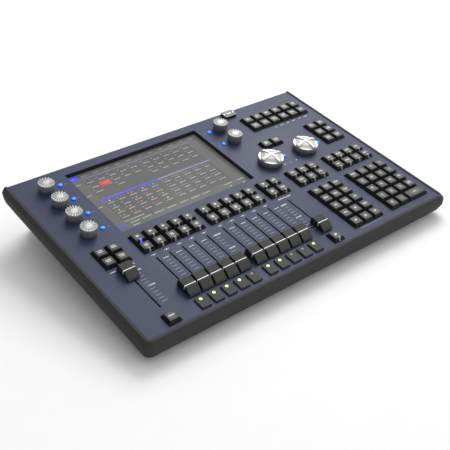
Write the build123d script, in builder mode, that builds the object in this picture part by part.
"""Lighting control desk: a wedge-shaped console with a recessed screen, twelve faders, eight
rotary controls and its key blocks, modelled as separate pieces.

Frame: +X to the operator's right, +Y to the back, +Z up, millimetres. The origin is on the bench
under the middle of the desk. The controls are laid out in the sloping panel's own coordinates:
x across, y up the slope from the panel's front edge, z out of the panel's top face.
"""
import os
from math import cos, radians, sin

from build123d import *

# ------------------------------------ body
PANEL_WIDTH = 503.0
PANEL_DEPTH = 326.4
PANEL_SHEET = 2.0
PANEL_CORNER = 3.5
TILT = 9.1
FRONT_RISE = 31.0
FOOT_HEIGHT = 5.0
FOOT_RADIUS = 10.0
FOOT_INSET = 22.0
BUMPER_WIDTH = 9.5
BUMPER_LIP = 3.8
BUMPER_SHOULDER = 9.0
BUMPER_SHOULDER_DROP = 4.8
BUMPER_NOSE_DROP = 12.8
BUMPER_FOOT = 5.1
BUMPER_DEPTH = 23.5
BUMPER_PROUD = 0.8
BUMPER_ROUND = 1.2
CHEEK_END_RADIUS = 42.0
CHEEK_END_PROUD = 1.0
CASE_SHEET = 1.5
TUB_SIDE_INSET = 31.6
TUB_FRONT_INSET = 24.0
TUB_LIP = 11.0
SEAM = 0.1
SIDE_GAP = 0.4

# ------------------------------------ keys
KEY_CAP = 18.2
KEY_GAP = 0.85
KEY_TOP = 13.2
KEY_LIFT = 4.9
KEY_SINK = 2.4
KEY_SHOULDER = 0.4
KEY_TRAVEL = 1.5
KEY_STEM = 1.8
KEY_ROUND = 0.8
KEY_WINDOW_GAP = 0.5
ROW_GAP = 0.9
FLASH_WIDTH = 13.8
FLASH_LENGTH = 17.6
FLASH_LIFT = 2.6
FLASH_Y = 14.0
FLASH_LENS = (4.2, 5.4)
FLASH_LENS_Y = 18.6
FLASH_LENS_PROUD = 0.7
BOARD_DROP = 12.0
BOARD_THICKNESS = 1.6
SWITCH_SIZE = 12.0
SWITCH_HEIGHT = 5.0
SWITCH_BORE_GAP = 0.5
SWITCH_HOLD = 1.5
PRESS_ROOM = 0.6
BOARD_MARGIN = 3.0
EDGE_ROOM = 8.0
FLASH_LENS_DEEP = 2.0

# ------------------------------------ faders
FADER_SPACING = 1.4
BANK_GAP = 7.0
CUE_GAP = 36.2
FADER_TRAVEL = 60.0
FADER_LOW_Y = 41.3
SLOT_WIDTH = 2.4
SLOT_END_ROOM = 3.5
LEVER_WIDTH = 6.0
LEVER_THICKNESS = 1.2
LEVER_REACH = 9.5
LEVER_IN_CAP = 4.0
FADER_CAP_SHOULDER = 2.6
FADER_CAP_WIDTH = 17.0
FADER_CAP_LENGTH = 27.0
FADER_CAP_RIDGE = 11.2
FADER_CAP_VALLEY = 8.2
FADER_CAP_GAP = 1.2
FADER_BODY_WIDTH = 10.0
FADER_BODY_HEIGHT = 12.0
FADER_BODY_END = 4.5
PUSH_FIT = 0.05

# ------------------------------------ rotary controls
KNOB_RADIUS = 11.1
KNOB_BASE_RADIUS = 10.7
KNOB_HEIGHT = 13.8
KNOB_GAP = 0.5
KNOB_SPACING = 35.1
JOG_RADIUS = 19.0
JOG_BASE_RADIUS = 18.2
JOG_RIM = 10.5
JOG_SLOPE_SHARE = 0.8
JOG_FLAT_SHARE = 0.5
JOG_HEIGHT = 14.0
JOG_SPACING = 69.2
KNOB_EDGE = 0.6
SHAFT_RADIUS = 3.0
SHAFT_IN_KNOB = 9.0
SHAFT_GAP = 0.1
BUSH_RADIUS = 4.5
BUSH_PROUD = 1.6
ENCODER_BODY = 13.0
ENCODER_BODY_TOP = 4.0
LED_RADIUS = 3.0
LED_PROUD = 2.6
LED_DEEP = 6.0
LED_ROUND = 2.1
LED_OFFSET = 20.5
JOG_LED_OFFSET = 27.6

# ------------------------------------ screen
SCREEN_LEFT = 77.0
SCREEN_FRONT_Y = 170.0
SCREEN_WIDTH = 222.2
SCREEN_DEPTH = 141.0
SCREEN_RECESS = 5.0
BEZEL_LEDGE = 0.8
BEZEL_FLANGE = 5.0
GLASS_THICKNESS = 1.8
GLASS_LAP = 1.0
LCD_THICKNESS = 5.4
LCD_GAP = 0.3

# ------------------------------------ rear panel
SOCKET_DROP = 46.0
DMX_PITCH = 36.0
DMX_FIRST_X = 6.0
DMX_SCREW = (9.5, 12.0)
DMX_RING = (8.2, 9.8)
DMX_RING_DEPTH = 14.0
DMX_PIN_CIRCLE = 4.8
DMX_PIN_RADIUS = 1.2
DMX_PINS = 5
DMX_FLANGE = (26.0, 31.0)
DMX_BARREL_RADIUS = 11.8
DMX_BARREL_LENGTH = 22.0
FLANGE_THICKNESS = 1.8
NETWORK_X = (-84.0, -106.0)
NETWORK_BODY = (16.0, 13.4, 21.0)
NETWORK_CAVITY = (11.8, 8.2, 13.0)
USB_X = -132.0
USB_BODY = (14.5, 16.0, 18.0)
USB_MOUTH = (12.4, 5.0)
USB_STACK = 7.4
USB_TONGUE = (10.0, 1.9)
MOUTH_DEPTH = 10.0
VIDEO_X = -40.0
VIDEO_BODY = (39.0, 12.5, 16.0)
VIDEO_MOUTH = (26.0, 8.4)
VIDEO_TONGUE = (22.0, 3.2)
INLET_X = 178.0
INLET_FLANGE = (62.0, 30.0)
INLET_BODY = (56.0, 26.0, 30.0)
INLET_CAVITY = (24.4, 16.6, 16.0)
INLET_CAVITY_X = -11.5
INLET_PIN = (2.0, 4.0)
INLET_PIN_LENGTH = 11.0
INLET_PIN_X = 7.0
INLET_PIN_Y = 2.0
INLET_CORNER = 4.0
ROCKER_X = 17.5
ROCKER_RADIUS = 9.0
ROCKER_WIDTH = 12.0
ROCKER_PIVOT_DEPTH = 4.0
ROCKER_VALLEY = 5.4
ROCKER_SWING = 10.0
ROCKER_GAP = 0.4
PORT_FIT = 0.15

# ------------------------------------ inside
REAR_SCREW_INSET = 8.0
FOOT_TAPER = 1.0
FOOT_FLARE = 11.0
VENT_SIZE = (30.0, 3.0)
VENT_PITCH = 9.0
VENT_HALF_COUNT = 8
VENT_ROW_Y = 70.0
SCREW_RADIUS = 1.5
SCREW_HEAD_RADIUS = 2.8
SCREW_HEAD_HEIGHT = 1.8
SCREW_FIT = 0.1
STANDOFF_RADIUS = 3.0
STANDOFF_INSET = 6.0
CPU_SINK = (44.0, 44.0, 12.0)
MAIN_BOARD = (153.0, 108.0)
MAIN_BOARD_X = -88.5
MAIN_BOARD_BACK = 2.0
SUPPLY_SIZE = (98.0, 118.0, 30.0)
SUPPLY_X = 140.0
SUPPLY_BACK = 50.0
LAMP_BLOCK = (21.0, 15.0)
LAMP_BLOCK_HEIGHT = 4.0
LAMP_BLOCK_X = 131.3
LAMP_BLOCK_BACK = 8.6
LAMP_BLOCK_RIM = 2.0
LAMP_BLOCK_DEEP = 9.0
LAMP_MOUTH = (12.4, 5.0)
LAMP_TONGUE = (10.0, 1.8)

# ------------------------------------ where the controls sit, from the panel's edges
MASTER_FROM_LEFT = 40.5
BANK_FROM_LEFT = 85.7
KNOBS_FROM_LEFT = 40.0
KNOBS_FROM_RIGHT = 167.7
KNOBS_FROM_BACK = 32.4
JOGS_FROM_RIGHT = 157.9
JOGS_FROM_BACK = 138.0
PAIR_FROM_RIGHT = 134.8
PAIR_FROM_BACK = 102.3
CURSOR_FROM_BACK = 101.3
WINDOW_KEYS_FROM_BACK = 37.7
PAD_FROM_RIGHT = 21.25
PAD_FRONT_Y = 21.1
PAD_ROWS_GAP = 30.2
PAD_BLOCKS_GAP = 35.9
PLAYBACK_KEYS_BACK = 21.0

# ------------------------------------ worked out from the sizes above
SLOPE = radians(TILT)
LEFT = -PANEL_WIDTH / 2
RIGHT = PANEL_WIDTH / 2
REAR_INNER = PANEL_DEPTH - CASE_SHEET
OUTER_HALF = PANEL_WIDTH / 2 + BUMPER_WIDTH
KEY_PITCH = KEY_CAP + KEY_GAP
ROW_PITCH = KEY_CAP + ROW_GAP
FADER_PITCH = KEY_CAP + FADER_SPACING


def drop_to(height, y):
    """Panel z of the point at this y that lies at this height above the bench."""
    return (height - FRONT_RISE - y * sin(SLOPE)) / cos(SLOPE)


REAR_BOTTOM = drop_to(FOOT_HEIGHT, PANEL_DEPTH)
FRONT_REACH = BUMPER_SHOULDER * cos(SLOPE) - (BUMPER_SHOULDER_DROP - BUMPER_PROUD) * sin(SLOPE)
REAR_REACH = PANEL_DEPTH * cos(SLOPE) - REAR_BOTTOM * sin(SLOPE)
PANEL_FRONT_Y = (FRONT_REACH - REAR_REACH) / 2

PANEL = Plane(origin=(0, PANEL_FRONT_Y, FRONT_RISE), x_dir=(1, 0, 0),
              z_dir=(0, -sin(SLOPE), cos(SLOPE)))
SIDE = Plane(origin=PANEL.origin, x_dir=PANEL.y_dir, z_dir=(1, 0, 0))
REAR = Plane(origin=PANEL.from_local_coords((0, PANEL_DEPTH, 0)), x_dir=(-1, 0, 0), z_dir=PANEL.y_dir)

# control positions in panel coordinates
MASTER_X = LEFT + MASTER_FROM_LEFT
BANK_X = LEFT + BANK_FROM_LEFT
SECOND_BANK_X = BANK_X + 5 * FADER_PITCH + BANK_GAP
CUE_X = SECOND_BANK_X + 4 * FADER_PITCH + CUE_GAP
BANKS = [[start + i * FADER_PITCH for i in range(5)] for start in (BANK_X, SECOND_BANK_X)]
PLAYBACK_X = BANKS[0] + BANKS[1]
FADER_HIGH_Y = FADER_LOW_Y + FADER_TRAVEL
SLOT_LENGTH = FADER_TRAVEL + LEVER_WIDTH + 2 * SLOT_END_ROOM
SLOT_Y = (FADER_LOW_Y + FADER_HIGH_Y) / 2
FADER_BODY_LENGTH = SLOT_LENGTH + 2 * FADER_BODY_END
PAUSE_Y = SLOT_Y + SLOT_LENGTH / 2 + PLAYBACK_KEYS_BACK
GO_Y = PAUSE_Y + ROW_PITCH
NUMBER_X = RIGHT - PAD_FROM_RIGHT - 3 * KEY_PITCH
FUNCTION_X = NUMBER_X - PAD_BLOCKS_GAP - 2 * KEY_PITCH
PAD_BACK_Y = PAD_FRONT_Y + 4 * ROW_PITCH
PAGE_BACK_Y = PAD_BACK_Y + PAD_ROWS_GAP + ROW_PITCH
WINDOW_KEYS_X = NUMBER_X - 2 * KEY_PITCH
CURSOR_X = NUMBER_X + 2 * KEY_PITCH
PAIR_X = RIGHT - PAIR_FROM_RIGHT
LEFT_KNOB_X = LEFT + KNOBS_FROM_LEFT
RIGHT_KNOB_X = RIGHT - KNOBS_FROM_RIGHT
TOP_KNOB_Y = PANEL_DEPTH - KNOBS_FROM_BACK
JOG_X = RIGHT - JOGS_FROM_RIGHT
JOG_Y = PANEL_DEPTH - JOGS_FROM_BACK
SCREEN_X = LEFT + SCREEN_LEFT + SCREEN_WIDTH / 2
SCREEN_Y = SCREEN_FRONT_Y + SCREEN_DEPTH / 2
TUB_HALF = PANEL_WIDTH / 2 - TUB_SIDE_INSET
TUB_INNER_Y = TUB_FRONT_INSET + CASE_SHEET
FLOOR_TOP = FOOT_HEIGHT + CASE_SHEET


def level(height):
    """Plane parallel to the panel, this far above its top face."""
    return PANEL.offset(height)


def grid(x, y, columns, rows):
    """Key centres of a block whose back left key is at x, y."""
    return [(x + c * KEY_PITCH, y - r * ROW_PITCH) for r in range(rows) for c in range(columns)]


def opening(points):
    """Centre and size of the panel opening round a block of keys."""
    xs = [x for x, y in points]
    ys = [y for x, y in points]
    centre = ((min(xs) + max(xs)) / 2, (min(ys) + max(ys)) / 2)
    reach = KEY_CAP + 2 * KEY_WINDOW_GAP
    return centre, (max(xs) - min(xs) + reach, max(ys) - min(ys) + reach)


def save(piece, name):
    """Label a finished piece and write it."""
    piece.label = name
    export_step(piece, f"parts/{name}.step")


MASTER_BLOCK = grid(MASTER_X - KEY_PITCH / 2, GO_Y, 2, 2)
CUE_BLOCK = grid(CUE_X - KEY_PITCH / 2, GO_Y, 2, 2)
PAGE_BLOCK = grid(FUNCTION_X, PAGE_BACK_Y, 3, 2)
SELECT_BLOCK = grid(NUMBER_X, PAGE_BACK_Y, 4, 2)
FUNCTION_BLOCK = grid(FUNCTION_X, PAD_BACK_Y, 3, 5)
NUMBER_BLOCK = grid(NUMBER_X, PAD_BACK_Y, 4, 5)
WINDOW_BLOCK = grid(WINDOW_KEYS_X, PANEL_DEPTH - WINDOW_KEYS_FROM_BACK, 6, 2)
CURSOR_BLOCK = grid(CURSOR_X, PANEL_DEPTH - CURSOR_FROM_BACK, 2, 3)
PAIR_BLOCK = grid(PAIR_X, PANEL_DEPTH - PAIR_FROM_BACK, 2, 1)
ENTER_WIDTH = KEY_CAP + KEY_PITCH
ENTER_KEY = (NUMBER_X + 2.5 * KEY_PITCH, PAD_FRONT_Y)
KEY_GROUPS = {
    "master_keys": MASTER_BLOCK + [(MASTER_X, FLASH_Y)],
    "go_keys": [(x, GO_Y) for x in PLAYBACK_X],
    "pause_keys": [(x, PAUSE_Y) for x in PLAYBACK_X],
    "cue_keys": CUE_BLOCK + [(CUE_X, FLASH_Y)],
    "page_keys": PAGE_BLOCK,
    "select_keys": SELECT_BLOCK,
    "function_keys": FUNCTION_BLOCK,
    "number_keys": NUMBER_BLOCK[:-2],
    "window_keys": WINDOW_BLOCK,
    "cursor_keys": CURSOR_BLOCK + PAIR_BLOCK,
}
BANK_BLOCKS = [[(x, y) for x in bank for y in (PAUSE_Y, GO_Y)] for bank in BANKS]
KEY_OPENINGS = BANK_BLOCKS + [MASTER_BLOCK, CUE_BLOCK, PAGE_BLOCK, SELECT_BLOCK, FUNCTION_BLOCK]
KEY_OPENINGS += [NUMBER_BLOCK, WINDOW_BLOCK, CURSOR_BLOCK, PAIR_BLOCK]
KEY_OPENINGS += [[(MASTER_X, FLASH_Y)], [(CUE_X, FLASH_Y)]]
FLASH_CENTRES = [(x, FLASH_Y) for x in PLAYBACK_X]
LEFT_KNOBS = [(LEFT_KNOB_X, TOP_KNOB_Y - i * KNOB_SPACING) for i in range(4)]
RIGHT_KNOBS = [(RIGHT_KNOB_X, TOP_KNOB_Y - i * KNOB_SPACING) for i in range(2)]
JOGS = [(JOG_X + i * JOG_SPACING, JOG_Y) for i in range(2)]
KNOBS = LEFT_KNOBS + RIGHT_KNOBS
LEDS = [(x + LED_OFFSET, y) for x, y in LEFT_KNOBS]
LEDS += [(x - LED_OFFSET, y) for x, y in RIGHT_KNOBS]
LEDS += [(x + JOG_LED_OFFSET, y) for x, y in JOGS]
FADERS = {"fader_master": (MASTER_X, FADER_HIGH_Y)}
FADERS |= {f"fader_playback_{i:02d}": (x, FADER_LOW_Y) for i, x in enumerate(PLAYBACK_X, start=1)}
FADERS["fader_cue"] = (CUE_X, FADER_LOW_Y)
LAMP_CENTRE = (RIGHT - LAMP_BLOCK_X, PANEL_DEPTH - LAMP_BLOCK_BACK)
LAMP_STEM = (LAMP_BLOCK[0] - 2 * LAMP_BLOCK_RIM, LAMP_BLOCK[1] - 2 * LAMP_BLOCK_RIM)
TOP_EDGE = -PANEL_SHEET - SEAM
BENCH = Plane.XY
TUB_SCREWS = [(side * (TUB_HALF + TUB_LIP / 2), y) for side in (-1, 1)
              for y in (TUB_FRONT_INSET, PANEL_DEPTH / 2, REAR_INNER - TUB_LIP)]
FOOT_FRONT_Y = PANEL_FRONT_Y + (TUB_FRONT_INSET + FOOT_INSET) * cos(SLOPE)
FOOT_REAR_Y = PANEL_FRONT_Y + REAR_REACH - FOOT_INSET
FEET = [(side * (TUB_HALF - FOOT_INSET), y) for side in (-1, 1) for y in (FOOT_FRONT_Y, FOOT_REAR_Y)]
VENTS = [(x * VENT_PITCH, y) for x in range(-VENT_HALF_COUNT, VENT_HALF_COUNT + 1)
         for y in (-VENT_ROW_Y, VENT_ROW_Y)]
PORT_FLOOR = -SOCKET_DROP - NETWORK_BODY[1] / 2
PORT_CENTRES = {
    "dmx": [(-DMX_FIRST_X - i * DMX_PITCH, -SOCKET_DROP) for i in range(4)],
    "network": [(-x, -SOCKET_DROP) for x in NETWORK_X],
    "usb": [(-USB_X, PORT_FLOOR + USB_BODY[1] / 2)],
    "video": [(-VIDEO_X, PORT_FLOOR + VIDEO_BODY[1] / 2)],
    "inlet": [(-INLET_X, -SOCKET_DROP)],
}
DMX_SCREWS = [(x + side * DMX_SCREW[0], z - side * DMX_SCREW[1])
              for x, z in PORT_CENTRES["dmx"] for side in (-1, 1)]
USB_MOUTHS = [(x, z + half * USB_STACK / 2) for x, z in PORT_CENTRES["usb"] for half in (-1, 1)]
REAR_SCREWS = [(side * x, z) for side in (-1, 1)
               for x, z in ((PANEL_WIDTH / 2 - REAR_SCREW_INSET, -PANEL_SHEET - REAR_SCREW_INSET),
                            (TUB_HALF - REAR_SCREW_INSET, REAR_BOTTOM + REAR_SCREW_INSET))]

os.makedirs("parts", exist_ok=True)

# ==================================== top panel
with BuildPart() as top_panel:
    with BuildSketch(level(0)) as sheet:
        with Locations((0, PANEL_DEPTH / 2)):
            Rectangle(PANEL_WIDTH, PANEL_DEPTH)
        fillet(sheet.vertices().group_by(Axis.Y)[0], radius=PANEL_CORNER)
        for block in KEY_OPENINGS:
            centre, size = opening(block)
            with Locations(centre):
                RectangleRounded(*size, KEY_WINDOW_GAP, mode=Mode.SUBTRACT)
        with Locations(*FLASH_CENTRES):
            RectangleRounded(FLASH_WIDTH + 2 * KEY_WINDOW_GAP, FLASH_LENGTH + 2 * KEY_WINDOW_GAP,
                             2 * KEY_WINDOW_GAP, mode=Mode.SUBTRACT)
        with Locations(*[(x, SLOT_Y) for x, y in FADERS.values()]):
            SlotOverall(SLOT_LENGTH, SLOT_WIDTH, rotation=90, mode=Mode.SUBTRACT)
        with Locations((SCREEN_X, SCREEN_Y)):
            RectangleRounded(SCREEN_WIDTH, SCREEN_DEPTH, KEY_WINDOW_GAP, mode=Mode.SUBTRACT)
        with Locations(*(KNOBS + JOGS)):
            Circle(BUSH_RADIUS + PUSH_FIT, mode=Mode.SUBTRACT)
        with Locations(*LEDS):
            Circle(LED_RADIUS + PUSH_FIT, mode=Mode.SUBTRACT)
        with Locations(LAMP_CENTRE):
            Rectangle(LAMP_STEM[0], LAMP_STEM[1], mode=Mode.SUBTRACT)
    extrude(amount=-PANEL_SHEET)
save(top_panel.part, "top_panel")

# ==================================== edge bumper round the left, front and right
BUMPER_HEIGHT = BUMPER_DEPTH + BUMPER_PROUD
CHEEK_TIP = PANEL_DEPTH + CHEEK_END_PROUD
ARC_REACH = (CHEEK_END_RADIUS ** 2 - (CHEEK_END_RADIUS - BUMPER_HEIGHT) ** 2) ** 0.5
ARC_CENTRE = (CHEEK_TIP - ARC_REACH, CHEEK_END_RADIUS - BUMPER_DEPTH)
with BuildPart() as edge_bumper:
    with BuildLine(level(BUMPER_PROUD)) as rim:
        FilletPolyline((LEFT, CHEEK_TIP), (LEFT, 0), (RIGHT, 0), (RIGHT, CHEEK_TIP), radius=PANEL_CORNER)
    with BuildSketch(Plane(origin=rim.line @ 0, x_dir=(-1, 0, 0), z_dir=rim.line % 0)) as section:
        Polygon((SEAM, 0), (BUMPER_LIP, 0), (BUMPER_SHOULDER, BUMPER_SHOULDER_DROP),
                (BUMPER_WIDTH, BUMPER_NOSE_DROP), (BUMPER_FOOT, BUMPER_HEIGHT), (SEAM, BUMPER_HEIGHT),
                align=None)
        fillet(section.vertices().sort_by(Axis.X)[-4:], radius=BUMPER_ROUND)
    sweep()
    with BuildSketch(SIDE):
        with Locations((ARC_CENTRE[0], -BUMPER_DEPTH - SIDE_GAP)):
            Rectangle(2 * CHEEK_END_RADIUS, BUMPER_HEIGHT + 3 * SIDE_GAP, align=(Align.MIN, Align.MIN))
        with Locations(ARC_CENTRE):
            Circle(CHEEK_END_RADIUS, mode=Mode.SUBTRACT)
    extrude(amount=OUTER_HALF + BUMPER_WIDTH, both=True, mode=Mode.SUBTRACT)
save(edge_bumper.part, "edge_bumper")

# ==================================== rear corner caps behind the bumper's ends
with BuildPart() as rear_corner_caps:
    with BuildSketch(SIDE.offset(RIGHT + SEAM)):
        with Locations((ARC_CENTRE[0], -BUMPER_DEPTH)):
            Rectangle(PANEL_DEPTH - ARC_CENTRE[0], BUMPER_DEPTH - SIDE_GAP, align=(Align.MIN, Align.MIN))
        with Locations(ARC_CENTRE):
            Circle(CHEEK_END_RADIUS + SIDE_GAP, mode=Mode.SUBTRACT)
    extrude(amount=BUMPER_FOOT - SIDE_GAP - SEAM)
    mirror(about=Plane.YZ)
save(rear_corner_caps.part, "rear_corner_caps")

# ==================================== chassis frame, the shallow tray under the panel
TRAY_DEPTH = BUMPER_DEPTH + TOP_EDGE
with BuildPart() as chassis_frame:
    with BuildSketch(level(TOP_EDGE)) as tray:
        with Locations((0, REAR_INNER / 2)):
            Rectangle(PANEL_WIDTH, REAR_INNER - SEAM)
        fillet(tray.vertices().group_by(Axis.Y)[0], radius=PANEL_CORNER)
    extrude(amount=-TRAY_DEPTH)
    with BuildSketch(level(TOP_EDGE)):
        with Locations((0, CASE_SHEET)):
            Rectangle(PANEL_WIDTH - 2 * CASE_SHEET, PANEL_DEPTH, align=(Align.CENTER, Align.MIN))
    extrude(amount=-(TRAY_DEPTH - CASE_SHEET), mode=Mode.SUBTRACT)
    with BuildSketch(level(-BUMPER_DEPTH)):
        with Locations((0, TUB_INNER_Y)):
            Rectangle(2 * (TUB_HALF - CASE_SHEET), PANEL_DEPTH, align=(Align.CENTER, Align.MIN))
    extrude(amount=2 * CASE_SHEET, mode=Mode.SUBTRACT)
    with BuildSketch(level(-BUMPER_DEPTH)):
        with Locations(*TUB_SCREWS):
            Circle(SCREW_RADIUS + SCREW_FIT)
    extrude(amount=2 * CASE_SHEET, mode=Mode.SUBTRACT)
save(chassis_frame.part, "chassis_frame")

# ==================================== base tub, the wedge below the tray
with BuildPart() as base_tub:
    with BuildSketch(SIDE):
        Polygon((TUB_FRONT_INSET, -BUMPER_DEPTH), (TUB_FRONT_INSET, drop_to(FOOT_HEIGHT, TUB_FRONT_INSET)),
                (REAR_INNER - SEAM, drop_to(FOOT_HEIGHT, REAR_INNER - SEAM)),
                (REAR_INNER - SEAM, -BUMPER_DEPTH), align=None)
    extrude(amount=TUB_HALF, both=True)
    with BuildSketch(SIDE):
        Polygon((TUB_INNER_Y, -BUMPER_DEPTH), (TUB_INNER_Y, drop_to(FLOOR_TOP, TUB_INNER_Y)),
                (PANEL_DEPTH, drop_to(FLOOR_TOP, PANEL_DEPTH)), (PANEL_DEPTH, -BUMPER_DEPTH), align=None)
    extrude(amount=TUB_HALF - CASE_SHEET, both=True, mode=Mode.SUBTRACT)
    with BuildSketch(level(-BUMPER_DEPTH)):
        with Locations((0, TUB_FRONT_INSET - TUB_LIP)):
            Rectangle(2 * (TUB_HALF + TUB_LIP), REAR_INNER - SEAM - TUB_FRONT_INSET + TUB_LIP,
                      align=(Align.CENTER, Align.MIN))
        with Locations((0, TUB_INNER_Y)):
            Rectangle(2 * (TUB_HALF - CASE_SHEET), PANEL_DEPTH, align=(Align.CENTER, Align.MIN),
                      mode=Mode.SUBTRACT)
        with Locations(*TUB_SCREWS):
            Circle(SCREW_RADIUS + SCREW_FIT, mode=Mode.SUBTRACT)
    extrude(amount=-CASE_SHEET)
    with BuildSketch(BENCH.offset(FOOT_HEIGHT)):
        with Locations(*FEET):
            Circle(SCREW_RADIUS + SCREW_FIT)
        with Locations(*VENTS):
            SlotOverall(VENT_SIZE[0], VENT_SIZE[1], rotation=90)
    extrude(amount=CASE_SHEET * 2, mode=Mode.SUBTRACT)
save(base_tub.part, "base_tub")

# ==================================== feet, each with its screw hole
with BuildPart() as feet:
    with BuildSketch(BENCH):
        with Locations(*FEET):
            Circle(FOOT_RADIUS - FOOT_TAPER)
    extrude(amount=FOOT_HEIGHT, taper=-FOOT_FLARE)
    with BuildSketch(BENCH):
        with Locations(*FEET):
            Circle(SCREW_RADIUS + SCREW_FIT)
    extrude(amount=FOOT_HEIGHT, mode=Mode.SUBTRACT)
    with BuildSketch(BENCH):
        with Locations(*FEET):
            Circle(SCREW_HEAD_RADIUS + SCREW_FIT)
    extrude(amount=FOOT_HEIGHT / 2, mode=Mode.SUBTRACT)
save(feet.part, "feet")

# ==================================== rear panel with its port cut-outs
with BuildPart() as rear_panel:
    with BuildSketch(REAR.offset(-CASE_SHEET)):
        with Locations((0, TOP_EDGE)):
            Rectangle(PANEL_WIDTH, BUMPER_DEPTH + TOP_EDGE, align=(Align.CENTER, Align.MAX))
            Rectangle(2 * TUB_HALF, TOP_EDGE - REAR_BOTTOM, align=(Align.CENTER, Align.MAX))
        with Locations(*PORT_CENTRES["dmx"]):
            Circle(DMX_BARREL_RADIUS + PORT_FIT, mode=Mode.SUBTRACT)
        with Locations(*PORT_CENTRES["network"]):
            Rectangle(NETWORK_BODY[0] + 2 * PORT_FIT, NETWORK_BODY[1] + 2 * PORT_FIT, mode=Mode.SUBTRACT)
        with Locations(*PORT_CENTRES["usb"]):
            Rectangle(USB_BODY[0] + 2 * PORT_FIT, USB_BODY[1] + 2 * PORT_FIT, mode=Mode.SUBTRACT)
        with Locations(*PORT_CENTRES["video"]):
            Rectangle(VIDEO_BODY[0] + 2 * PORT_FIT, VIDEO_BODY[1] + 2 * PORT_FIT, mode=Mode.SUBTRACT)
        with Locations(*PORT_CENTRES["inlet"]):
            Rectangle(INLET_BODY[0] + 2 * PORT_FIT, INLET_BODY[1] + 2 * PORT_FIT, mode=Mode.SUBTRACT)
        with Locations(*(REAR_SCREWS + DMX_SCREWS)):
            Circle(SCREW_RADIUS + SCREW_FIT, mode=Mode.SUBTRACT)
    extrude(amount=CASE_SHEET)
save(rear_panel.part, "rear_panel")

# ==================================== screws: rear panel, tub flange and feet
SCREW_SETS = ((REAR, REAR_SCREWS, 1, 3 * CASE_SHEET),
              (REAR.offset(FLANGE_THICKNESS), DMX_SCREWS, 1, FLANGE_THICKNESS + 3 * CASE_SHEET),
              (level(-BUMPER_DEPTH - CASE_SHEET), TUB_SCREWS, -1, 3 * CASE_SHEET),
              (BENCH.offset(FOOT_HEIGHT / 2), FEET, -1, FOOT_HEIGHT))
with BuildPart() as case_screws:
    for plane, points, outward, reach in SCREW_SETS:
        with BuildSketch(plane):
            with Locations(*points):
                Circle(SCREW_HEAD_RADIUS)
        extrude(amount=outward * SCREW_HEAD_HEIGHT)
        with BuildSketch(plane):
            with Locations(*points):
                Circle(SCREW_RADIUS)
        extrude(amount=-outward * reach)
save(case_screws.part, "case_screws")

# ==================================== screen: bezel, touch glass, display module
BEZEL_BACK = -(SCREEN_RECESS - SEAM)
with BuildPart() as display_bezel:
    with BuildSketch(level(TOP_EDGE)):
        with Locations((SCREEN_X, SCREEN_Y)):
            Rectangle(SCREEN_WIDTH + 2 * BEZEL_FLANGE, SCREEN_DEPTH + 2 * BEZEL_FLANGE)
            Rectangle(SCREEN_WIDTH - 2 * BEZEL_LEDGE, SCREEN_DEPTH - 2 * BEZEL_LEDGE, mode=Mode.SUBTRACT)
    extrude(amount=BEZEL_BACK - TOP_EDGE)
save(display_bezel.part, "display_bezel")

GLASS_TOP = -SCREEN_RECESS
GLASS_BACK = GLASS_TOP - GLASS_THICKNESS
with BuildPart() as touch_glass:
    with BuildSketch(level(GLASS_TOP)):
        with Locations((SCREEN_X, SCREEN_Y)):
            RectangleRounded(SCREEN_WIDTH + 2 * GLASS_LAP, SCREEN_DEPTH + 2 * GLASS_LAP, GLASS_LAP)
    extrude(amount=-GLASS_THICKNESS)
save(touch_glass.part, "touch_glass")

with BuildPart() as display_module:
    with BuildSketch(level(GLASS_BACK - LCD_GAP)):
        with Locations((SCREEN_X, SCREEN_Y)):
            Rectangle(SCREEN_WIDTH + BEZEL_FLANGE, SCREEN_DEPTH + BEZEL_FLANGE)
    extrude(amount=-LCD_THICKNESS)
save(display_module.part, "display_module")

# ==================================== circuit boards under the controls
ROW_MARGIN = KEY_CAP / 2 + BOARD_MARGIN
with BuildPart() as playback_board:
    with BuildSketch(level(-BOARD_DROP)):
        with Locations((MASTER_X - KEY_PITCH / 2 - ROW_MARGIN, FLASH_Y - KEY_CAP / 2)):
            Rectangle(CUE_X - MASTER_X + KEY_PITCH + 2 * ROW_MARGIN,
                      GO_Y + ROW_MARGIN - FLASH_Y + KEY_CAP / 2, align=(Align.MIN, Align.MIN))
        with Locations(((MASTER_X + CUE_X) / 2, SLOT_Y)):
            Rectangle(CUE_X - MASTER_X + FADER_BODY_WIDTH + 2 * SIDE_GAP,
                      FADER_BODY_LENGTH + 2 * SIDE_GAP, mode=Mode.SUBTRACT)
    extrude(amount=-BOARD_THICKNESS)
save(playback_board.part, "playback_board")

KNOB_STRIP = KNOB_RADIUS + BOARD_MARGIN
with BuildPart() as encoder_board:
    with BuildSketch(level(-BOARD_DROP)):
        with Locations((LEFT_KNOB_X - KNOB_RADIUS, TOP_KNOB_Y - 3 * KNOB_SPACING - KNOB_STRIP)):
            Rectangle(LED_OFFSET + LED_RADIUS + KNOB_RADIUS, 3 * KNOB_SPACING + 2 * KNOB_STRIP,
                      align=(Align.MIN, Align.MIN))
    extrude(amount=-BOARD_THICKNESS)
save(encoder_board.part, "encoder_board")

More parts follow.
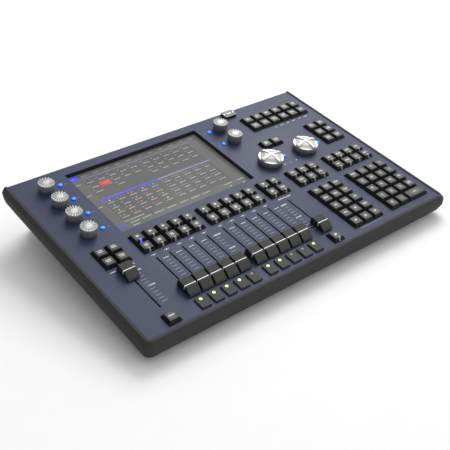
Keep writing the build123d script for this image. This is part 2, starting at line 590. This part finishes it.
with BuildPart() as keypad_board:
    with BuildSketch(level(-BOARD_DROP)):
        with Locations((RIGHT - EDGE_ROOM, PAD_FRONT_Y - ROW_MARGIN)):
            Rectangle(RIGHT - EDGE_ROOM - FUNCTION_X + ROW_MARGIN, PANEL_DEPTH - EDGE_ROOM - PAD_FRONT_Y,
                      align=(Align.MAX, Align.MIN))
        with Locations((RIGHT - EDGE_ROOM, JOG_Y - JOG_RADIUS)):
            Rectangle(RIGHT - EDGE_ROOM - RIGHT_KNOB_X + LED_OFFSET + LED_RADIUS,
                      TOP_KNOB_Y + KNOB_STRIP - JOG_Y + JOG_RADIUS, align=(Align.MAX, Align.MIN))
    extrude(amount=-BOARD_THICKNESS)
save(keypad_board.part, "keypad_board")

# ==================================== key switches, one under each key
STEM_END = -BOARD_DROP + SWITCH_HEIGHT - SWITCH_HOLD
SWITCH_CENTRES = [point for group in KEY_GROUPS.values() for point in group] + [ENTER_KEY] + FLASH_CENTRES
with BuildPart() as key_switches:
    with BuildSketch(level(-BOARD_DROP)):
        with Locations(*SWITCH_CENTRES):
            RectangleRounded(SWITCH_SIZE, SWITCH_SIZE, KEY_STEM / 2)
    extrude(amount=SWITCH_HEIGHT)
    with BuildSketch(level(-BOARD_DROP + SWITCH_HEIGHT)):
        with Locations(*SWITCH_CENTRES):
            Circle(KEY_STEM + SWITCH_BORE_GAP)
    extrude(amount=-(SWITCH_HOLD + KEY_TRAVEL + PRESS_ROOM), mode=Mode.SUBTRACT)
save(key_switches.part, "key_switches")


def key_cap(width):
    """One key with its stem, standing on the panel plane's origin."""
    with BuildPart() as cap:
        with BuildSketch(Plane.XY.offset(-KEY_SINK)):
            RectangleRounded(width, KEY_CAP, KEY_ROUND)
        extrude(amount=KEY_SINK + KEY_SHOULDER)
        with BuildSketch(Plane.XY.offset(KEY_SHOULDER)):
            RectangleRounded(width, KEY_CAP, KEY_ROUND)
        with BuildSketch(Plane.XY.offset(KEY_LIFT)):
            RectangleRounded(width - KEY_CAP + KEY_TOP, KEY_TOP, KEY_ROUND)
        loft()
        with BuildSketch(Plane.XY.offset(-KEY_SINK)):
            Circle(KEY_STEM)
        extrude(amount=STEM_END + KEY_SINK)
    return cap.part


# ==================================== key groups
single_key = key_cap(KEY_CAP)
enter_key = key_cap(ENTER_WIDTH)
for name, points in KEY_GROUPS.items():
    with BuildPart(PANEL) as keys:
        with Locations(*points):
            add(single_key)
        if name == "number_keys":
            with Locations(ENTER_KEY):
                add(enter_key)
    save(keys.part, name)

# ==================================== flash keys and their lenses
with BuildPart() as flash_keys:
    with BuildSketch(level(-KEY_SINK)):
        with Locations(*FLASH_CENTRES):
            RectangleRounded(FLASH_WIDTH, FLASH_LENGTH, KEY_ROUND)
    extrude(amount=KEY_SINK + FLASH_LIFT)
    with BuildSketch(level(-KEY_SINK)):
        with Locations(*FLASH_CENTRES):
            Circle(KEY_STEM)
    extrude(amount=STEM_END + KEY_SINK)
    with BuildSketch(level(FLASH_LIFT)):
        with Locations(*[(x, FLASH_LENS_Y) for x in PLAYBACK_X]):
            RectangleRounded(*FLASH_LENS, KEY_ROUND)
    extrude(amount=-FLASH_LENS_DEEP, mode=Mode.SUBTRACT)
save(flash_keys.part, "flash_keys")

with BuildPart() as flash_lenses:
    with BuildSketch(level(FLASH_LIFT + FLASH_LENS_PROUD)):
        with Locations(*[(x, FLASH_LENS_Y) for x in PLAYBACK_X]):
            RectangleRounded(FLASH_LENS[0] - 2 * PUSH_FIT, FLASH_LENS[1] - 2 * PUSH_FIT,
                             KEY_ROUND - PUSH_FIT)
    extrude(amount=-(FLASH_LENS_PROUD + FLASH_LENS_DEEP - PUSH_FIT))
save(flash_lenses.part, "flash_lenses")

# ==================================== fader bodies, open along the top for the lever
FADER_BODY_TOP = TOP_EDGE
with BuildPart() as fader_bodies:
    with BuildSketch(level(FADER_BODY_TOP)):
        with Locations(*[(x, SLOT_Y) for x, y in FADERS.values()]):
            Rectangle(FADER_BODY_WIDTH, FADER_BODY_LENGTH)
    extrude(amount=-FADER_BODY_HEIGHT)
    with BuildSketch(level(FADER_BODY_TOP)):
        with Locations(*[(x, SLOT_Y) for x, y in FADERS.values()]):
            Rectangle(SLOT_WIDTH, SLOT_LENGTH)
    extrude(amount=-LEVER_REACH, mode=Mode.SUBTRACT)
save(fader_bodies.part, "fader_bodies")

# ==================================== faders: a saddle-shaped cap pushed on a steel lever
SADDLE_SPAN = FADER_CAP_LENGTH / 2 - FADER_CAP_SHOULDER
for name, (x, y) in FADERS.items():
    with BuildPart() as fader:
        with BuildSketch(SIDE.offset(x)):
            with BuildLine():
                Polyline((y - SADDLE_SPAN, FADER_CAP_RIDGE), (y - FADER_CAP_LENGTH / 2, FADER_CAP_GAP),
                         (y + FADER_CAP_LENGTH / 2, FADER_CAP_GAP), (y + SADDLE_SPAN, FADER_CAP_RIDGE))
                ThreePointArc((y - SADDLE_SPAN, FADER_CAP_RIDGE), (y, FADER_CAP_VALLEY),
                              (y + SADDLE_SPAN, FADER_CAP_RIDGE))
            make_face()
        extrude(amount=FADER_CAP_WIDTH / 2, both=True)
        with BuildSketch(level(FADER_CAP_GAP)):
            with Locations((x, y)):
                Rectangle(LEVER_THICKNESS + 2 * PUSH_FIT, LEVER_WIDTH + 2 * PUSH_FIT)
        extrude(amount=LEVER_IN_CAP, mode=Mode.SUBTRACT)
        with BuildSketch(level(FADER_CAP_GAP + LEVER_IN_CAP - PUSH_FIT)):
            with Locations((x, y)):
                Rectangle(LEVER_THICKNESS, LEVER_WIDTH)
        extrude(amount=-(FADER_CAP_GAP + LEVER_IN_CAP - PUSH_FIT - TOP_EDGE + LEVER_REACH - PRESS_ROOM))
    save(fader.part, name)

# ==================================== encoder bodies with their bushes
ENCODER_TOP = -ENCODER_BODY_TOP
SHAFT_FOOT = -BOARD_DROP + PRESS_ROOM + BOARD_THICKNESS
with BuildPart() as encoder_bodies:
    with BuildSketch(level(-BOARD_DROP)):
        with Locations(*(KNOBS + JOGS)):
            Rectangle(ENCODER_BODY, ENCODER_BODY)
    extrude(amount=BOARD_DROP - ENCODER_BODY_TOP)
    with BuildSketch(level(ENCODER_TOP)):
        with Locations(*(KNOBS + JOGS)):
            Circle(BUSH_RADIUS)
    extrude(amount=ENCODER_BODY_TOP + BUSH_PROUD)
    with BuildSketch(level(BUSH_PROUD)):
        with Locations(*(KNOBS + JOGS)):
            Circle(SHAFT_RADIUS + SHAFT_GAP)
    extrude(amount=-(BUSH_PROUD - SHAFT_FOOT + PRESS_ROOM), mode=Mode.SUBTRACT)
save(encoder_bodies.part, "encoder_bodies")


def rotary(x, y, profile):
    """A turned knob over its bush, with its own shaft, from a half section of (radius, height) points."""
    with BuildPart() as control:
        with BuildSketch(SIDE.offset(x)):
            with Locations((y, 0)):
                Polygon(*profile, align=None)
        revolve(axis=Axis(PANEL.from_local_coords((x, y, 0)), PANEL.z_dir))
        with BuildSketch(level(KNOB_GAP)):
            with Locations((x, y)):
                Circle(BUSH_RADIUS + 2 * KNOB_GAP)
        extrude(amount=BUSH_PROUD + KNOB_GAP, mode=Mode.SUBTRACT)
        with BuildSketch(level(KNOB_GAP)):
            with Locations((x, y)):
                Circle(SHAFT_RADIUS + PUSH_FIT)
        extrude(amount=SHAFT_IN_KNOB, mode=Mode.SUBTRACT)
        with BuildSketch(level(SHAFT_FOOT)):
            with Locations((x, y)):
                Circle(SHAFT_RADIUS)
        extrude(amount=KNOB_GAP + SHAFT_IN_KNOB - PUSH_FIT - SHAFT_FOOT)
    return control.part


# ==================================== encoder knobs and jog wheels
KNOB_PROFILE = [(0, KNOB_GAP), (KNOB_BASE_RADIUS, KNOB_GAP), (KNOB_RADIUS, KNOB_HEIGHT - KNOB_EDGE),
                (KNOB_RADIUS - KNOB_EDGE, KNOB_HEIGHT), (0, KNOB_HEIGHT)]
JOG_PROFILE = [(0, KNOB_GAP), (JOG_BASE_RADIUS, KNOB_GAP), (JOG_RADIUS, JOG_RIM),
               (JOG_SLOPE_SHARE * JOG_RADIUS, (JOG_RIM + 2 * JOG_HEIGHT) / 3),
               (JOG_FLAT_SHARE * JOG_RADIUS, JOG_HEIGHT), (0, JOG_HEIGHT)]
for i, (x, y) in enumerate(LEFT_KNOBS, start=1):
    save(rotary(x, y, KNOB_PROFILE), f"encoder_left_{i}")
for i, (x, y) in enumerate(RIGHT_KNOBS, start=1):
    save(rotary(x, y, KNOB_PROFILE), f"encoder_right_{i}")
for i, (x, y) in enumerate(JOGS, start=1):
    save(rotary(x, y, JOG_PROFILE), f"jog_wheel_{i}")

# ==================================== indicator lamps beside the rotary controls
with BuildPart() as indicator_leds:
    with BuildSketch(level(-LED_DEEP)):
        with Locations(*LEDS):
            Circle(LED_RADIUS)
    extrude(amount=LED_DEEP + LED_PROUD)
    fillet(indicator_leds.faces().filter_by(PANEL).group_by(Axis(PANEL.origin, PANEL.z_dir))[-1].edges(),
           radius=LED_ROUND)
save(indicator_leds.part, "indicator_leds")

# ==================================== lamp socket, a raised block at the back edge
with BuildPart() as lamp_socket:
    with BuildSketch(level(0)):
        with Locations(LAMP_CENTRE):
            RectangleRounded(*LAMP_BLOCK, LAMP_BLOCK_RIM / 2)
    extrude(amount=LAMP_BLOCK_HEIGHT)
    with BuildSketch(level(0)):
        with Locations(LAMP_CENTRE):
            Rectangle(LAMP_STEM[0] - 2 * PORT_FIT, LAMP_STEM[1] - 2 * PORT_FIT)
    extrude(amount=-LAMP_BLOCK_DEEP)
    with BuildSketch(level(LAMP_BLOCK_HEIGHT)):
        with Locations(LAMP_CENTRE):
            Rectangle(*LAMP_MOUTH)
            Rectangle(*LAMP_TONGUE, mode=Mode.SUBTRACT)
    extrude(amount=-MOUTH_DEPTH, mode=Mode.SUBTRACT)
save(lamp_socket.part, "lamp_socket")

# ==================================== rear sockets
with BuildPart() as dmx_sockets:
    with BuildSketch(REAR):
        with Locations(*PORT_CENTRES["dmx"]):
            RectangleRounded(*DMX_FLANGE, PANEL_CORNER)
        with Locations(*DMX_SCREWS):
            Circle(SCREW_RADIUS + SCREW_FIT, mode=Mode.SUBTRACT)
    extrude(amount=FLANGE_THICKNESS)
    with BuildSketch(REAR):
        with Locations(*PORT_CENTRES["dmx"]):
            Circle(DMX_BARREL_RADIUS)
    extrude(amount=-DMX_BARREL_LENGTH)
    with BuildSketch(REAR.offset(FLANGE_THICKNESS)):
        with Locations(*PORT_CENTRES["dmx"]):
            Circle(DMX_RING[1])
            Circle(DMX_RING[0], mode=Mode.SUBTRACT)
        for centre in PORT_CENTRES["dmx"]:
            with Locations(centre):
                with PolarLocations(DMX_PIN_CIRCLE, DMX_PINS, start_angle=90):
                    Circle(DMX_PIN_RADIUS)
    extrude(amount=-DMX_RING_DEPTH, mode=Mode.SUBTRACT)
save(dmx_sockets.part, "dmx_sockets")

with BuildPart() as network_sockets:
    with BuildSketch(REAR):
        with Locations(*PORT_CENTRES["network"]):
            Rectangle(NETWORK_BODY[0], NETWORK_BODY[1])
    extrude(amount=-NETWORK_BODY[2])
    with BuildSketch(REAR):
        with Locations(*PORT_CENTRES["network"]):
            Rectangle(NETWORK_CAVITY[0], NETWORK_CAVITY[1])
    extrude(amount=-NETWORK_CAVITY[2], mode=Mode.SUBTRACT)
save(network_sockets.part, "network_sockets")

with BuildPart() as usb_socket:
    with BuildSketch(REAR):
        with Locations(*PORT_CENTRES["usb"]):
            Rectangle(USB_BODY[0], USB_BODY[1])
    extrude(amount=-USB_BODY[2])
    with BuildSketch(REAR):
        with Locations(*USB_MOUTHS):
            Rectangle(*USB_MOUTH)
            Rectangle(*USB_TONGUE, mode=Mode.SUBTRACT)
    extrude(amount=-MOUTH_DEPTH, mode=Mode.SUBTRACT)
save(usb_socket.part, "usb_socket")

with BuildPart() as video_socket:
    with BuildSketch(REAR):
        with Locations(*PORT_CENTRES["video"]):
            Rectangle(VIDEO_BODY[0], VIDEO_BODY[1])
    extrude(amount=-VIDEO_BODY[2])
    with BuildSketch(REAR):
        with Locations(*PORT_CENTRES["video"]):
            RectangleRounded(*VIDEO_MOUTH, KEY_ROUND)
            Rectangle(*VIDEO_TONGUE, mode=Mode.SUBTRACT)
    extrude(amount=-MOUTH_DEPTH, mode=Mode.SUBTRACT)
save(video_socket.part, "video_socket")

# ==================================== mains inlet and its rocker switch
INLET_CENTRE = PORT_CENTRES["inlet"][0]
CAVITY_CENTRE = (INLET_CENTRE[0] + INLET_CAVITY_X, INLET_CENTRE[1])
ROCKER_CENTRE = (INLET_CENTRE[0] + ROCKER_X, INLET_CENTRE[1])
ROCKER_POCKET = ROCKER_RADIUS + ROCKER_GAP
with BuildPart() as mains_inlet:
    with BuildSketch(REAR):
        with Locations(INLET_CENTRE):
            RectangleRounded(*INLET_FLANGE, PANEL_CORNER)
    extrude(amount=FLANGE_THICKNESS)
    with BuildSketch(REAR):
        with Locations(INLET_CENTRE):
            Rectangle(INLET_BODY[0], INLET_BODY[1])
    extrude(amount=-INLET_BODY[2])
    with BuildSketch(REAR.offset(FLANGE_THICKNESS)) as cavity:
        with Locations(CAVITY_CENTRE):
            Rectangle(INLET_CAVITY[0], INLET_CAVITY[1])
        chamfer(cavity.vertices().group_by(Axis.Y)[-1], length=INLET_CORNER)
    extrude(amount=-INLET_CAVITY[2], mode=Mode.SUBTRACT)
    with BuildSketch(REAR.offset(FLANGE_THICKNESS)):
        with Locations(ROCKER_CENTRE):
            Rectangle(ROCKER_WIDTH + 2 * ROCKER_GAP, 2 * ROCKER_POCKET)
    extrude(amount=-(FLANGE_THICKNESS + ROCKER_PIVOT_DEPTH + ROCKER_POCKET), mode=Mode.SUBTRACT)
    with BuildSketch(REAR.offset(FLANGE_THICKNESS - INLET_CAVITY[2])):
        with Locations(CAVITY_CENTRE):
            with Locations((-INLET_PIN_X, -INLET_PIN_Y), (0, INLET_PIN_Y), (INLET_PIN_X, -INLET_PIN_Y)):
                Rectangle(*INLET_PIN)
    extrude(amount=INLET_PIN_LENGTH)
save(mains_inlet.part, "mains_inlet")

ROCKER_PIVOT = (PANEL_DEPTH - ROCKER_PIVOT_DEPTH, ROCKER_CENTRE[1])
ROCKER_CREST = ROCKER_VALLEY + ROCKER_RADIUS * sin(radians(ROCKER_SWING))
with BuildPart() as power_rocker:
    with BuildSketch(SIDE.offset(-ROCKER_CENTRE[0])):
        with Locations(Location((*ROCKER_PIVOT, 0), (0, 0, ROCKER_SWING))):
            Circle(ROCKER_RADIUS)
            Polygon((ROCKER_VALLEY, 0), (ROCKER_CREST, ROCKER_RADIUS), (2 * ROCKER_RADIUS, ROCKER_RADIUS),
                    (2 * ROCKER_RADIUS, -ROCKER_RADIUS), (ROCKER_CREST, -ROCKER_RADIUS), align=None,
                    mode=Mode.SUBTRACT)
    extrude(amount=ROCKER_WIDTH / 2, both=True)
save(power_rocker.part, "power_rocker")

# ==================================== main board, its standoffs, and the power supply
MAIN_BOARD_TOP = PORT_FLOOR
BOARD_FRONT_Y = REAR_INNER - MAIN_BOARD_BACK - MAIN_BOARD[1]
STANDOFF_CENTRES = [(MAIN_BOARD_X + side * (MAIN_BOARD[0] / 2 - STANDOFF_INSET), BOARD_FRONT_Y + y)
                    for side in (-1, 1) for y in (STANDOFF_INSET, MAIN_BOARD[1] - STANDOFF_INSET)]
with BuildPart() as main_board:
    with BuildSketch(level(MAIN_BOARD_TOP)):
        with Locations((MAIN_BOARD_X, BOARD_FRONT_Y)):
            Rectangle(*MAIN_BOARD, align=(Align.CENTER, Align.MIN))
        with Locations(*STANDOFF_CENTRES):
            Circle(SCREW_RADIUS + SCREW_FIT, mode=Mode.SUBTRACT)
    extrude(amount=-BOARD_THICKNESS)
    with BuildSketch(level(MAIN_BOARD_TOP)):
        with Locations((MAIN_BOARD_X, BOARD_FRONT_Y + MAIN_BOARD[1] / 2)):
            Rectangle(CPU_SINK[0], CPU_SINK[1])
    extrude(amount=CPU_SINK[2])
save(main_board.part, "main_board")

with BuildPart() as board_standoffs:
    with BuildSketch(level(MAIN_BOARD_TOP - BOARD_THICKNESS)):
        with Locations(*STANDOFF_CENTRES):
            Circle(STANDOFF_RADIUS)
    extrude(amount=-PANEL_DEPTH / 2)
    split(bisect_by=BENCH.offset(FLOOR_TOP), keep=Keep.TOP)
    with BuildSketch(level(MAIN_BOARD_TOP)):
        with Locations(*STANDOFF_CENTRES):
            Circle(SCREW_RADIUS)
    extrude(amount=-BOARD_THICKNESS)
save(board_standoffs.part, "board_standoffs")

with BuildPart() as power_supply:
    with BuildSketch(BENCH.offset(FLOOR_TOP)):
        with Locations((SUPPLY_X, PANEL_FRONT_Y + REAR_REACH - SUPPLY_BACK)):
            Rectangle(SUPPLY_SIZE[0], SUPPLY_SIZE[1], align=(Align.CENTER, Align.MAX))
    extrude(amount=SUPPLY_SIZE[2])
save(power_supply.part, "power_supply")
